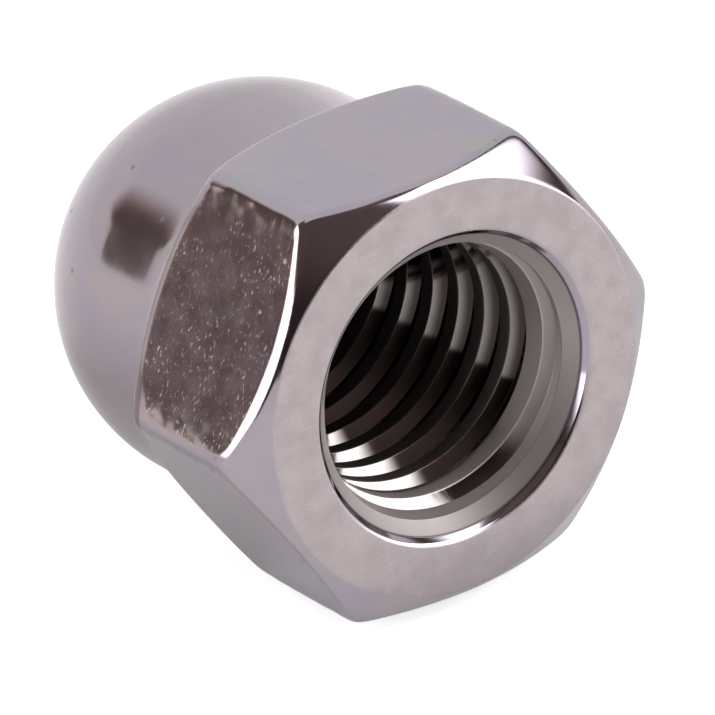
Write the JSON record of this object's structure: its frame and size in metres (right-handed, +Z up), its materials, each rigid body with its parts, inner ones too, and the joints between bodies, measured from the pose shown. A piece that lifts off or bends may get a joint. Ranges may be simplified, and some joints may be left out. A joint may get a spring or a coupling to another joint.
{
  "type": "domed cap nut",
  "caption": "Hexagon domed cap nut with a blind threaded bore, which covers the end of a bolt or stud.",
  "frame": {"origin": "centre of the bearing face, on the thread's axis", "axes": "+Z up, -Y out of the mouth: the nut lies on its side, its axis in the YZ plane and tipped down 8.1 degrees towards the dome"},
  "size_m": [0.0206, 0.0225, 0.019],
  "materials": {
    "stainless_steel": "tumbled satin, with polished rounded edges"
  },
  "bodies": {
    "root": {"cap_nut": "stainless_steel"}
  },
  "joints": []
}
